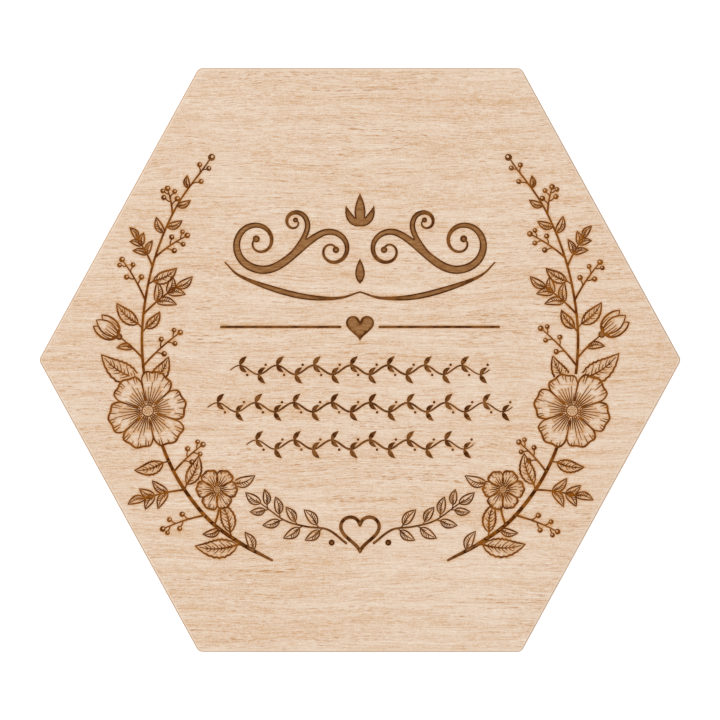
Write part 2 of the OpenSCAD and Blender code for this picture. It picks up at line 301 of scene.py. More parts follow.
def oak(name, shift, turn=0.0, tint=(1.0, 1.0, 1.0, 1.0), is_engraved=False):
    """Matt oak: shift is where in the tree the board is from, turn is its grain's angle about Z."""
    material, graph, surface = new_material(name)
    point = object_point(graph, turn, shift)
    grain = graph.add("ShaderNodeGroup", {"Point": point}, node_tree=OAK_GRAIN)
    colour = graph.mix(1.0, grain.outputs["Color"], tint, "MULTIPLY")

    # end grain soaks up more finish and shows darker
    normal = graph.texture_place("Normal")
    board_way = (math.cos(turn), math.sin(turn), 0)
    facing = graph.number("ShaderNodeVectorMath", {0: normal, 1: board_way}, "Value", operation="DOT_PRODUCT")
    end_grain = graph.span(graph.math("ABSOLUTE", facing), 0.35, 0.95, 0.0, 0.16)
    colour = graph.mix(end_grain, colour, srgb(160, 112, 70))

    if is_engraved:
        # the lid's rounded edge: a painted highlight and painted shade, set by how far each face looks
        # upwards
        colour = edge_highlight_and_shade(graph, colour, graph.split(normal)[2])
        colour = burnt_and_shaded(graph, colour, point)
    height = grain.outputs["Height"]
    graph.put(surface, {
        "Base Color": colour,
        "Roughness": graph.span(height, -0.8, 0.4, 0.62, 0.5),
        "Normal": graph.bump(height, 0.05 * MM, 0.6),
        "Specular IOR Level": 0.03,
    })
    return material


# ---------------------------------------------------------------- beech, felt and metal

def beech(name):
    """Raw beech end grain with fine dark flecks, for the tongues."""
    material, graph, surface = new_material(name)
    point = object_point(graph)
    cloud = graph.noise(point, (300, 300, 40), 2)
    fleck = graph.noise(point, (2600, 2600, 500), 2, 0.6)
    colour = graph.mix(graph.span(cloud, 0.3, 0.7), srgb(186, 140, 104), srgb(205, 162, 124))
    colour = graph.mix(graph.span(fleck, 0.56, 0.7, 0.0, 0.6), colour, srgb(128, 84, 54))
    graph.put(surface, {
        "Base Color": colour,
        "Roughness": 0.68,
        "Normal": graph.bump(fleck, 0.05 * MM, 0.5),
    })
    return material


def felt(name, dark, light, cells):
    """Wool felt: matted fibres in two tones, so many a metre, with a soft sheen."""
    material, graph, surface = new_material(name)
    point = object_point(graph)
    bend = graph.noise(point, (500, 500, 500), 1, output="Color")
    bent = graph.vectors("ADD", point, graph.vectors("MULTIPLY", bend, (2 * MM, 2 * MM, 2 * MM)))
    across = graph.noise(bent, (cells, cells * 5, cells * 3), 3, 0.65)
    along = graph.noise(bent, (cells * 5, cells, cells * 3), 3, 0.65)
    fibre = graph.math("MAXIMUM", across, along)
    mottle = graph.noise(point, (90, 90, 90), 3)
    tone = fibre * 0.75 + mottle * 0.18
    graph.put(surface, {
        "Base Color": graph.mix(graph.span(tone, 0.32, 0.7), dark, light),
        "Roughness": 0.95,
        "Normal": graph.bump(fibre, 0.25 * MM, 0.8),
        "Specular IOR Level": 0.15,
        "Sheen Weight": 0.35,
        "Sheen Roughness": 0.5,
        "Sheen Tint": light,
    })
    return material


def metal(name, bright, dull, brush, smooth, rough):
    """Plated or solid metal with fine brush lines and a little tarnish in cloudy patches."""
    material, graph, surface = new_material(name)
    point = object_point(graph)
    lines = graph.noise(point, brush, 3, 0.6)
    patch = graph.noise(point, (260, 260, 260), 3, 0.6)
    colour = graph.mix(graph.span(patch, 0.45, 0.8, 0.0, 0.7), bright, dull)
    graph.put(surface, {
        "Base Color": graph.mix(graph.span(lines, 0.35, 0.65, 0.0, 0.18), colour, dull),
        "Metallic": 1.0,
        "Roughness": graph.span(lines, 0.3, 0.7, smooth, rough),
        "Normal": graph.bump(lines, 0.01 * MM, 0.5),
    })
    return material


# ---------------------------------------------------------------- pieces

def merged_copy(node):
    """The CAD node's mesh as a new bmesh, with its loose triangles joined and no stored normals."""
    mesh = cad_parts[node].data.copy()
    if mesh.has_custom_normals:
        mesh.attributes.remove(mesh.attributes["custom_normal"])
    solid = bmesh.new()
    solid.from_mesh(mesh)
    bpy.data.meshes.remove(mesh)
    bmesh.ops.remove_doubles(solid, verts=solid.verts, dist=SAME_PLACE)
    return solid


def plain_mesh(name, solid):
    """A bmesh as a mesh of its own."""
    mesh = bpy.data.meshes.new(name)
    solid.to_mesh(mesh)
    solid.free()
    return mesh


def new_piece(name, mesh, material, body, node, crease=35):
    """Links a finished mesh as a piece that rides on a body and stands for a CAD node."""
    mesh.materials.clear()
    mesh.materials.append(material)
    mesh.shade_smooth()
    mesh.set_sharp_from_angle(angle=math.radians(crease))
    piece = bpy.data.objects.new(name, mesh)
    bpy.context.scene.collection.objects.link(piece)
    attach(piece, body)
    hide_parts(node)
    return piece


def repaint(node, material):
    """Gives a CAD node that is kept as it is a better material."""
    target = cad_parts[node]
    if not target.material_slots:
        target.data.materials.append(material)
    for place in target.material_slots:
        place.material = material


# ---------------------------------------------------------------- engraving: lines and areas

CUTS = []       # counter-clockwise outlines of everything that is cut away
HIDING = []     # (centre, radius) of blossoms that lie over the stems behind them


def unit(degrees):
    return cmath.exp(1j * math.radians(degrees))


def cut(outline):
    """Cuts away one small convex area, unless it is too thin to hold its shape once rounded."""
    outline = np.round(np.asarray(outline, complex), 3)
    following = np.roll(outline, -1)
    area = 0.5 * float(np.sum(outline.real * following.imag - outline.imag * following.real))
    if abs(area) > THINNEST * np.abs(following - outline).max():
        CUTS.append(outline if area > 0 else outline[::-1])


def is_hidden(point):
    return any(abs(point - centre) < radius for centre, radius in HIDING)


def along(path, share):
    """The point and the direction in degrees at a share of a path's length."""
    run = np.concatenate([[0], np.cumsum(np.abs(np.diff(path)))])

    def point(at):
        at = min(max(at, 0), 1) * run[-1]
        return np.interp(at, run, path.real) + 1j * np.interp(at, run, path.imag)

    return point(share), math.degrees(cmath.phase(point(share + 0.01) - point(share - 0.01)))


def evenly(path, step=LINE_STEP):
    """The same path with points an even step apart."""
    run = np.concatenate([[0], np.cumsum(np.abs(np.diff(path)))])
    at = np.linspace(0, run[-1], max(2, round(run[-1] / step) + 1))
    return np.interp(at, run, path.real) + 1j * np.interp(at, run, path.imag)


def through(points, step=1.2):
    """A smooth path through given points."""
    points = np.asarray(points, complex)
    before, after = 2 * points[0] - points[1], 2 * points[-1] - points[-2]
    points = np.concatenate([[before], points, [after]])
    t = np.linspace(0, 1, 12, endpoint=False)
    path = []
    for a, b, c, d in zip(points, points[1:], points[2:], points[3:]):
        straight = (c - a) * t
        bend = (2 * a - 5 * b + 4 * c - d) * t**2
        twist = (3 * b - a - 3 * c + d) * t**3
        path.append(b + 0.5 * (straight + bend + twist))
    return evenly(np.concatenate(path + [[points[-2]]]), step)


def taper(count, start, end):
    return np.linspace(start, end, count)


def swell(count, ends, middle):
    return ends + (middle - ends) * np.sin(np.linspace(0, math.pi, count)) ** 0.7


def line(path, width, over=False):
    """Cuts a line of a given width, or a width for each point, with rounded ends.

    A wide line is cut in three lanes, so that its rims can be darker than its middle.
    """
    path = np.asarray(path, complex)
    width = np.broadcast_to(np.asarray(width, float), path.shape)
    way = np.gradient(path)
    left = 1j * way / np.maximum(np.abs(way), 1e-9)
    half = width / 2
    edges = [half, -half]
    if width.max() > WIDE_LINE:
        rim = np.minimum(RIM, width / 3)
        edges = [half, half - rim, rim - half, -half]
    for i in range(len(path) - 1):
        if not over and is_hidden((path[i] + path[i + 1]) / 2):
            continue
        for upper, lower in zip(edges, edges[1:]):
            a, b = (path[j] + left[j] * lower[j] for j in (i, i + 1))
            c, d = (path[j] + left[j] * upper[j] for j in (i + 1, i))
            cut([a, b, c])
            cut([a, c, d])
    least_round = 0.3       # a line's end that is narrower stays square
    for end, back in ((0, 1), (-1, -1)):
        if width[end] > least_round and (over or not is_hidden(path[end])):
            corners = 9 if width[end] > 1 else 6
            sweep = np.exp(1j * np.linspace(0, math.pi, corners))
            cut(path[end] + back * left[end] * width[end] / 2 * sweep)


def ring(count):
    return np.exp(2j * math.pi * np.arange(count) / count)


def between(outer, inner):
    """Cuts away the strip between two closed paths of as many points."""
    for i in range(len(outer)):
        j = (i + 1) % len(outer)
        cut([outer[i], outer[j], inner[j]])
        cut([outer[i], inner[j], inner[i]])


def closed_line(path, width):
    """Cuts a narrow line round a closed path."""
    way = np.roll(path, -1) - np.roll(path, 1)
    left = 1j * way / np.abs(way)
    between(path + left * (width / 2), path - left * (width / 2))


def dot(centre, radius, highlight=0.0):
    """Cuts a round dot; highlight is the share of its radius that is left standing."""
    if is_hidden(centre):
        return
    around = ring(14 if radius > 1 else 10)
    if highlight:
        up_right = 0.35 + 0.35j
        spot = centre + radius * (up_right * (1 - highlight) + highlight * around)
        between(centre + radius * around, spot)
    else:
        cut(centre + radius * around)


class Pen:
    """Where a motif is drawn: its foot, its direction in degrees, and whether it is turned over."""

    def __init__(self, foot, angle, over=False):
        self.foot, self.angle, self.over = foot, angle, over

    def __call__(self, path):
        path = np.asarray(path, complex)
        return self.foot + (np.conj(path) if self.over else path) * unit(self.angle)

    def moved(self, distance):
        return Pen(self.foot + distance * unit(self.angle), self.angle, self.over)


# ---------------------------------------------------------------- engraving: motifs

def veined_leaf(pen, length, width, veins):
    """A leaf with a toothed outline, and a long and a short vein by turns in each half."""
    bow = -0.1

    def rib_at(share):
        return length * (share + 1j * bow * np.sin(math.pi * share * 0.9))

    count = 19
    share = np.linspace(0, 1, count)
    rib = rib_at(share)
    teeth = 1 + 0.05 * np.cos(math.pi * np.arange(count))
    half = width / 2 * np.sin(math.pi * share**0.85) ** 0.9 * (1 - 0.25 * share) * teeth
    out = 1j * np.gradient(rib) / np.abs(np.gradient(rib))
    for side in (1, -1):
        line(pen(rib + side * half * out), swell(count, 0.42, OUTLINE))
    line(pen(rib_at(np.linspace(0, 0.9, 12))), taper(12, 0.85, 0.32))
    t = np.linspace(0, 1, 4)
    for k in range(2 * veins):
        for side, reaches in ((1, (0.82, 0.4)), (-1, (0.6, 0.32))):
            reach = reaches[k % 2]
            at = 0.1 + 0.68 * k / (2 * veins) + 0.2 * reach * t**1.2
            vein = rib_at(at) + side * 1j * np.interp(at, share, half) * reach * t**0.9
            line(pen(vein), taper(4, 0.46, HAIR))


def small_leaf(pen, length, width, bow=-0.1):
    """A leaf with hatch lines, more of them in one half."""
    share = np.linspace(0, 1, 10)
    rib = length * (share + 1j * bow * np.sin(math.pi * share))
    half = width / 2 * np.sin(math.pi * share**0.8) ** 0.9
    for side in (1, -1):
        line(pen(rib + side * 1j * half), swell(10, 0.38, 0.64))
    line(pen(rib[:9]), taper(9, 0.64, 0.3))
    for k in range(1, 6):
        line(pen([rib[k], rib[k] - 0.8j * half[k] + 0.1 * length]), [0.46, 0.24])
        if k < 3:
            line(pen([rib[k], rib[k] + 0.55j * half[k] + 0.12 * length]), [0.42, 0.2])


def solid_leaf(pen, length, width, bow=0.1):
    share = np.linspace(0, 1, 9)
    rib = length * (share + 1j * bow * np.sin(math.pi * share))
    line(pen(rib), np.maximum(width * np.sin(math.pi * share**0.8) ** 0.9, 0.04))


def berry(pen, stalk, radius):
    t = np.linspace(0, 1, 6)
    line(pen(stalk * (t + 0.12j * np.sin(math.pi * t))), taper(6, 0.54, 0.44))
    dot(pen.moved(stalk + radius).foot, radius, highlight=0.36)


def twig(pen, length):
    """Cuts a twig that bows to one side, and gives its path."""
    t = np.linspace(0, 1, 12)
    path = pen(length * (t - 0.12j * t**2))
    line(path, taper(12, 0.8, 0.5))
    return path


def berry_twig(pen, length):
    """A twig with a berry at its tip and four to the left and right by turns."""
    radius = 1.15
    path = twig(pen, length)
    for k, side in enumerate((-1, 1, -1, 1)):
        share = 0.38 + 0.52 * k / 3
        foot, angle = along(path, share)
        berry(Pen(foot, angle + side * 48), 2.6 - 0.9 * share, radius * (1 - 0.22 * share))
    berry(Pen(*along(path, 1)), 0.3, 0.95 * radius)


def leaf_twig(pen, length, leaf_length):
    """A twig with a leaf at its tip and two pairs along it."""
    width = leaf_length * 0.4
    path = twig(pen, length)
    for k in range(2):
        foot, angle = along(path, 0.42 + 0.34 * k)
        for side in (1, -1):
            small_leaf(Pen(foot, angle + side * (48 - 8 * k), side < 0), leaf_length * (1 - 0.14 * k), width)
    small_leaf(Pen(*along(path, 1)), 0.95 * leaf_length, width)


def bud(pen, length, width):
    """A half-open bud: a middle petal between two side petals, on a calyx with two sepals."""
    def shape(side, *points):
        """A smooth path through places: lengths along the bud, and widths out to one side."""
        return pen(through([length * x + 1j * width * y * side for x, y in points], LINE_STEP))

    dot(pen.moved(0.04 * length).foot, 0.11 * length)
    for side in (1, -1):
        half = shape(side, (0.1, 0.03), (0.3, 0.23), (0.6, 0.29), (0.84, 0.17), (1.0, 0))
        line(half, swell(len(half), 0.36, 0.62))
        outer = shape(side, (0.08, 0.05), (0.2, 0.34), (0.45, 0.5), (0.75, 0.48), (0.95, 0.34))
        line(outer, swell(len(outer), 0.4, OUTLINE))
        inner = shape(side, (0.95, 0.34), (0.87, 0.22), (0.76, 0.2))
        line(inner, taper(len(inner), 0.5, 0.34))
        for x, y, reach in ((0.16, 0.07, 0.42), (0.24, 0.17, 0.3), (0.24, 0.33, 0.34)):
            hatch = shape(side, (x, y), (x + reach / 2, 1.14 * y), (x + reach, 1.16 * y))
            line(hatch, taper(len(hatch), 0.46, HAIR))
        solid_leaf(Pen(pen(0.04 * length), pen.angle + 52 * side, side > 0), 0.3 * length, 0.11 * length)


def bud_twig(pen, length, size):
    path = twig(pen, length)
    foot, angle = along(path, 1)
    bud(Pen(foot, angle, pen.over), size, 0.72 * size)
    foot, angle = along(path, 0.45)
    small_leaf(Pen(foot, angle + (42 if pen.over else -42), not pen.over), 0.55 * size, 0.22 * size)


def blossom(centre, radius, petals, turn, seed):
    """An open blossom seen from above: broad waved petals with hatching, round a dotted eye."""
    is_large = radius > 10
    draw = random.Random(seed)
    eye = 0.6 + 0.1 * radius
    reach = 180 / petals
    for k in range(petals):
        middle = turn + 360 * k / petals
        tip = radius * draw.uniform(0.93, 1.03)
        slant = draw.uniform(-0.05, 0.05)

        def place(across, out):
            """A place on the petal: across is -1 to 1, out is its distance from the middle."""
            return centre + out * unit(middle + across * reach)

        def edge(across):
            """How far out the petal's waved end lies."""
            lobes = 0.03 * math.cos(8 * across + 3 * slant) + slant * across
            return tip * (0.96 + lobes - 0.24 * abs(across) ** 4)

        flank = [place(-1, out * radius) for out in (0.24, 0.45, 0.6)]
        end = [place(across, edge(across)) for across in np.linspace(-0.96, 0.96, 11)]
        petal = through(flank + end + [place(0.97, 0.62 * radius)], LINE_STEP)
        line(petal, swell(len(petal), 0.42, OUTLINE), over=True)
        for i, lane in enumerate(np.linspace(-0.82, 0.82, 7 if is_large else 5)):
            length = (0.74 - 0.3 * abs(lane)) * draw.uniform(0.65, 1.1)
            start = eye * (1.2 if i % 2 else 1.8)
            outs = start + (edge(lane) - start) * length * np.linspace(0, 1, 4)
            hatch = [place(lane * (1 + 0.04 * slant * out), out) for out in outs]
            line(hatch, taper(4, 0.5, HAIR), over=True)
        for lane in (-0.74, -0.6, -0.26, 0.08, 0.22, 0.5, 0.66):
            outs = edge(lane) - tip * draw.uniform(0.08, 0.24) * np.linspace(0.12, 1, 3)
            hatch = [place(lane * (1 - 0.03 * i), out) for i, out in enumerate(outs)]
            line(hatch, taper(3, 0.46, HAIR), over=True)
    closed_line(centre + eye * ring(28), 0.42)
    # the dots in the eye are set as seeds are, each a golden angle on from the last
    golden = math.pi * (3 - math.sqrt(5))
    for k in range(1, 15):
        cut(centre + 0.74 * eye * math.sqrt(k / 15) * cmath.exp(1j * golden * k) + 0.2 * ring(6))
    for stamen in 1.5 * eye * ring((3 if is_large else 2) * petals) * unit(turn + 60 / petals):
        cut(centre + stamen + 0.34 * ring(6))


def heart(count, width, centre):
    """The usual heart curve, 32 wide before it is scaled, as points round it."""
    t = np.linspace(0, -2 * math.pi, count, endpoint=False)
    x = 16 * np.sin(t) ** 3
    y = 13 * np.cos(t) - 5 * np.cos(2 * t) - 2 * np.cos(3 * t) - np.cos(4 * t)
    return centre + (x + 1j * y) * width / 32


def volute(centre, eye, radius, first, last):
    """A spiral from its eye outwards, between two bearings in degrees."""
    t = np.linspace(0, 1, 90)
    out = eye + (radius - eye) * t**1.25
    return evenly(centre + out * np.exp(1j * np.radians(first + (last - first) * t)))


def linked(out, back, pull):
    """One path: out along the first, smoothly across, and in along the second from its far end."""
    back = back[::-1]
    a, d = out[-1], back[0]
    reach = abs(d - a) * pull
    b = a + reach * (out[-1] - out[-2]) / abs(out[-1] - out[-2])
    c = d - reach * (back[1] - back[0]) / abs(back[1] - back[0])
    t = np.linspace(0, 1, 30)[1:-1]
    across = (1 - t) ** 3 * a + 3 * (1 - t) ** 2 * t * b + 3 * (1 - t) * t**2 * c + t**3 * d
    return evenly(np.concatenate([out, across, back]))


def swelled(path, thin, thick, peak=0.5):
    """Cuts a line that is thickest at the peak, as a broad pen draws it."""
    share = np.linspace(0, 1, len(path))
    turn = np.interp(share, (0, peak, 1), (0, 0.5, 1))
    line(path, thin + (thick - thin) * np.sin(math.pi * turn) ** 1.5)


# ---------------------------------------------------------------- engraving: the design

# place along the stem, side (1 outside, -1 inside), motif, size in mm, angle off the stem
SPRAY = (
    (0.045, -1, "small leaf", 7.5, 40), (0.070, 1, "leaf", 15.5, 32),
    (0.130, 1, "small leaf", 7.0, 52), (0.098, -1, "leaf", 11.5, 40),
    (0.175, 1, "berries", 15.5, 60), (0.245, 1, "leaves", 15.0, 58),
    (0.245, -1, "leaf", 11.5, 52), (0.290, -1, "berries", 14.0, 66),
    (0.315, 1, "leaf", 10.5, 78),
    (0.490, 1, "leaf", 17.0, 46), (0.478, -1, "leaf", 13.0, 42),
    (0.528, -1, "berries", 17.0, 44), (0.545, 1, "bud", 15.0, 38),
    (0.600, -1, "leaf", 8.0, 34), (0.610, 1, "leaf", 10.5, 46),
    (0.640, -1, "leaves", 15.0, 36), (0.670, 1, "berries", 15.5, 32),
    (0.705, -1, "leaf", 9.5, 48), (0.745, 1, "leaves", 12.0, 34),
    (0.765, -1, "berries", 13.5, 34), (0.820, 1, "small leaf", 6.6, 44),
    (0.835, -1, "small leaf", 6.4, 44), (0.865, 1, "berries", 8.5, 30),
    (0.885, -1, "small leaf", 5.4, 40), (0.930, 1, "small leaf", 4.6, 40),
    (0.940, -1, "berry", 2.8, 34), (0.970, 1, "berry", 2.2, 34), (0.978, -1, "berry", 1.8, 34),
)


def draw_motif(kind, pen, size):
    if kind == "leaf":
        stalk = 2.2
        line(pen([0, stalk]), [0.6, 0.5])
        veined_leaf(pen.moved(stalk), size, 0.48 * size, veins=4 if size > 12 else 3)
    elif kind == "small leaf":
        small_leaf(pen, size, 0.42 * size)
    elif kind == "berries":
        berry_twig(pen, size)
    elif kind == "leaves":
        leaf_twig(pen, size, 0.48 * size)
    elif kind == "bud":
        bud_twig(pen, 0.8 * size, 0.78 * size)
    else:
        berry(pen, size, 1.0)


def spray(seed):
    """The garland along the left slanting sides: a stem with its motifs and two blossoms."""
    draw = random.Random(seed)
    petals = 6
    small = -53.5 - 48.5j
    blossoms = ((-79.5 - 19j, 15.4, 12), (small, 8.0, 0))      # centre, radius, turn in degrees
    HIDING.extend((centre, 0.92 * radius) for centre, radius, _ in blossoms)
    stem = through((-33 - 75j, -45 - 68.5j, -57 - 59.5j, -68 - 45j, -75.5 - 28j, -80.5 - 8j,
                    -81.5 + 13j, -77.5 + 36j, -69 + 57j, -57 + 74j))
    line(stem, np.concatenate([taper(8, 0.9, 1.5), taper(len(stem) - 8, 1.5, 0.6)]))
    foot, _ = along(stem, 0.145)
    line(through((foot, foot + 1.6 + 6j, small)), 0.8)
    small_leaf(Pen(small + 6.5 * unit(20), 20), 8.5, 3.8)
    for share, side, kind, size, angle in SPRAY:
        foot, way = along(stem, share)
        pen = Pen(foot, way + side * (angle + draw.uniform(-4, 4)), side > 0)
        draw_motif(kind, pen, size * draw.uniform(0.94, 1.06))
    berry(Pen(*along(stem, 1)), 1.0, 1.35)
    for centre, radius, turn in blossoms:
        blossom(centre, radius, petals, turn, seed)
    HIDING.clear()


def mirrored(first, keep=True):
    """Mirrors everything cut since first to the other half, and keeps or drops the half itself."""
    half = CUTS[first:]
    if not keep:
        del CUTS[first:]
    CUTS.extend(-np.conj(outline)[::-1] for outline in half)


def divider():
    """A line on each side of a filled heart, which has a rim darker than its middle."""
    y = 12.4
    for side in (1, -1):
        line(evenly(np.array([side * 7.4 + y * 1j, side * 52 + y * 1j]), 1.5), 0.95)
    outline, inside = (heart(44, width, 0.2j + y * 1j) for width in (10.6, 9.4))
    between(outline, inside)
    CUTS.append(inside)


def scrollwork():
    """The right half of the scrolls above the divider, then both halves and the middle."""
    first = len(CUTS)
    main = linked(volute(10.5 + 41j, 1.5, 7.6, 530, 52), volute(38 + 44j, 1.6, 9.8, 418, -82), 0.36)
    swelled(main, 0.75, 3.2, 0.52)
    dot(main[0], 1.25)
    dot(main[-1], 1.35)
    fork = int(0.47 * len(main))
    branch = linked(main[fork : fork + 2], volute(24.5 + 51.5j, 1.0, 4.6, -610, -190), 0.45)
    swelled(branch, 0.6, 2.1, 0.45)
    dot(branch[-1], 1.0)
    swelled(through((25.5j, 8 + 23.2j, 20 + 23.6j, 33 + 26.8j, 45 + 31.5j, 50.5 + 36.5j), 0.8), 0.55, 2.3)
    solid_leaf(Pen(50j, 56, True), 9.5, 3.0, 0.12)
    mirrored(first)
    solid_leaf(Pen(28.5j, 90), 9.5, 3.6, 0)
    solid_leaf(Pen(50j, 90), 12.5, 4.2, 0)


def running_vine(y, width, waves):
    """A waved stem with two small leaves on each crest and a dot in each hollow."""
    x = np.linspace(-width / 2, width / 2, waves * 16 + 1)
    stem = x + 1j * (y + 1.7 * np.sin(2 * math.pi * waves * (x / width + 0.5)))
    line(stem, swell(len(x), 0.4, 0.8))
    for k in range(2 * waves):
        side = 1 if k % 2 == 0 else -1
        foot, way = along(stem, (k + 0.5) / (2 * waves))
        solid_leaf(Pen(foot, way + side * 52, side < 0), 4.3, 1.75)
        solid_leaf(Pen(foot, way - side * 44, side > 0), 3.7, 1.55)
        dot(foot - side * 3.6j + 0.2 * width / waves, 0.5)


def bottom_garland():
    """An outlined heart between two leafy sprigs, with a dot under each."""
    closed_line(heart(64, 14.4, -64.2j), 1.3)
    first = len(CUTS)
    dot(10.6 - 68.4j, 1.15)
    stem = through((5.2 - 68.6j, 12 - 63.6j, 20 - 62.4j, 28 - 60.2j, 36 - 54.6j), 1.0)
    line(stem, taper(len(stem), 0.95, 0.5))
    leaves = (      # place along the stem, side, length
        (0.30, -1, 6.6), (0.34, 1, 7.4), (0.52, -1, 7.2), (0.58, 1, 6.4), (0.74, -1, 6.6),
        (0.78, 1, 6.6), (0.93, -1, 5.8), (0.95, 1, 5.8), (1.0, 0, 7.0),
    )
    stalk = 1.4
    for share, side, size in leaves:
        foot, way = along(stem, share)
        pen = Pen(foot, way + side * 44, side > 0)
        line(pen([0, stalk]), [0.5, 0.45])
        small_leaf(pen.moved(stalk), size, 0.46 * size, -0.06)
    mirrored(first)


def draw_design():
    """The whole engraving, with a spray of its own, drawn as a left one, for the right side."""
    spray(seed=8)
    mirrored(0, keep=False)
    spray(seed=3)
    scrollwork()
    divider()
    for y, width, waves in ((-3.7, 97, 7), (-17.7, 114, 8), (-31.7, 85, 6)):
        running_vine(y, width, waves)
    bottom_garland()


# ---------------------------------------------------------------- the lid

def open_top(solid, height):
    """Takes the flat top off a board and returns the loop that is left, anticlockwise."""
    top = [face for face in solid.faces if face.normal.z > 0.999 and face.verts[0].co.z > height - LEVEL]
    bmesh.ops.delete(solid, geom=top, context="FACES")
    loop = [next(edge for edge in solid.edges if edge.is_boundary).verts[0]]
    while True:
        beside = [edge.other_vert(loop[-1]) for edge in loop[-1].link_edges if edge.is_boundary]
        following = beside[1] if len(loop) > 1 and beside[0] is loop[-2] else beside[0]
        if following is loop[0]:
            break
        loop.append(following)
    places = [complex(*vert.co.xy) for vert in loop]
    area = sum((a.conjugate() * b).imag for a, b in zip(places, places[1:] + places[:1]))
    return loop if area > 0 else loop[::-1]


def triangulated(places, outlines, close):
    """Triangles that fill the outlines: their places and corners, and what each of both came from."""
    inside_only = 1
    made = delaunay_2d_cdt(places, [], outlines, inside_only, close, True)
    places, _, triangles, old_places, _, old_outlines = made
    return places, triangles, old_places, old_outlines


def spots_near(corners):
    """Spots on and beside the cuts, in rows, in tenths of a mm, between which the stain can change."""
    pitch = 14      # from spot to spot
    rows = 1        # of spots past each corner of a cut
    cells = {(round(corner.x * 10 / pitch), round(corner.y * 10 / pitch)) for corner in corners}
    spread = range(-rows, rows + 1)
    around = {(x + i, y + j) for x, y in cells for i in spread for j in spread}
    return [((x + 0.5 * (y % 2)) * pitch, y * pitch) for x, y in sorted(around)]


def plan_of(loop, middle):
    """The lid's top in mm: places, triangles, which of these are cut away, and the board's own corners."""
    places = [Vector(((vert.co.x - middle.x) / MM, (vert.co.y - middle.y) / MM)) for vert in loop]
    outlines = [list(range(len(loop)))]
    known = {}
    for cut_outline in CUTS:
        corners = []
        for point in cut_outline:
            key = (round(point.real, 3), round(point.imag, 3))
            if key not in known:
                known[key] = len(places)
                places.append(Vector(key))
            if not corners or corners[-1] != known[key]:
                corners.append(known[key])
        if corners[0] == corners[-1]:
            corners.pop()
        if len(corners) > 2:
            outlines.append(corners)
    places.extend(Vector(spot) / 10 for spot in spots_near(places[len(loop):]))
    places, triangles, old_places, old_outlines = triangulated(places, outlines, 1e-5)
    is_cut = [any(outline > 0 for outline in mine) for mine in old_outlines]
    rim = {i: loop[k] for i, mine in enumerate(old_places) for k in mine if k < len(loop)}
    return places, triangles, is_cut, rim


def burn_and_shade_marks(floor, walls, bare, burn_and_rim_shade, stain):
    """Sets the burn value, painted shade included, and, on the bare wood, stain.

    The burn value is 1 in narrow cuts. In wide ones it is 2 at the foot of the walls, partly a hotter burn
    and partly painted shade in the cut's corner, and 0.5 past a rim's width.
    """
    foot_step = 0.1 * MM        # between the places at the walls' feet that distances are taken to
    wide_from = 0.75            # share of a rim's width that the middle of a wide cut lies from its walls
    feet_to_stain = 200         # so many feet within reach stain the wood by two thirds
    beside = 1.01 * CUT_DEEP * MM
    beside_stain = 0.5          # the least stain right beside a cut

    feet = []
    for a, b in walls:
        a, b = floor[a].co, floor[b].co
        steps = 1 + int((b - a).length / foot_step)
        feet.extend(a.lerp(b, k / steps) for k in range(steps))
    near = KDTree(len(feet))
    for index, place in enumerate(feet):
        near.insert(place, index)
    near.balance()
    away = {vert: min(near.find(vert.co)[2] / (RIM * MM), 1) for vert in floor.values()}
    for vert in away:
        around = [vert] + [edge.other_vert(vert) for edge in vert.link_edges]
        is_wide = max(away.get(other, 0) for other in around) > wide_from
        # 2 at the foot of a wide cut's walls: a hotter burn with painted shade in the cut's corner
        vert[burn_and_rim_shade] = 2 - 1.5 * away[vert] if is_wide else 1
    for vert in bare:
        vert[stain] = 1 - math.exp(-len(near.find_range(vert.co, STAIN_REACH * MM)) / feet_to_stain)
        if near.find(vert.co)[2] < beside:
            vert[stain] = max(vert[stain], beside_stain)


def engraved_lid():
    """The lid board with the design cut into its top."""
    solid = merged_copy("lid_panel")
    burn_and_rim_shade = solid.verts.layers.float.new("burn_and_rim_shade")
    stain = solid.verts.layers.float.new("stain")
    height = LID_HIGH.z
    middle = (LID_LOW + LID_HIGH) / 2
    places, triangles, is_cut, rim = plan_of(open_top(solid, height), middle)

    def vert_at(index, z):
        x, y = places[index]
        return solid.verts.new((middle.x + x * MM, middle.y + y * MM, z))

    upper, floor, cut_on_left = dict(rim), {}, {}
    for triangle, cut_here in zip(triangles, is_cut):
        level, z = (floor, height - CUT_DEEP * MM) if cut_here else (upper, height)
        for index in triangle:
            if index not in level:
                level[index] = vert_at(index, z)
        solid.faces.new([level[index] for index in triangle])
        for a, b in zip(triangle, triangle[1:] + triangle[:1]):
            cut_on_left[a, b] = cut_here
    walls = [
        (a, b) for (a, b), cut_here in cut_on_left.items()
        if cut_here and not cut_on_left.get((b, a), True)
    ]
    for a, b in walls:
        solid.faces.new([floor[a], upper[a], upper[b], floor[b]])
    burn_and_shade_marks(floor, walls, [upper[index] for index in upper if index not in rim], burn_and_rim_shade, stain)
    return plain_mesh("engraved_lid", solid)


# ---------------------------------------------------------------- walls and rails

def largest_side(solid):
    """The normal of a board's broadest upright face."""
    upright = [face for face in solid.faces if abs(face.normal.z) < 0.01]
    return max(upright, key=lambda face: face.calc_area()).normal.copy()


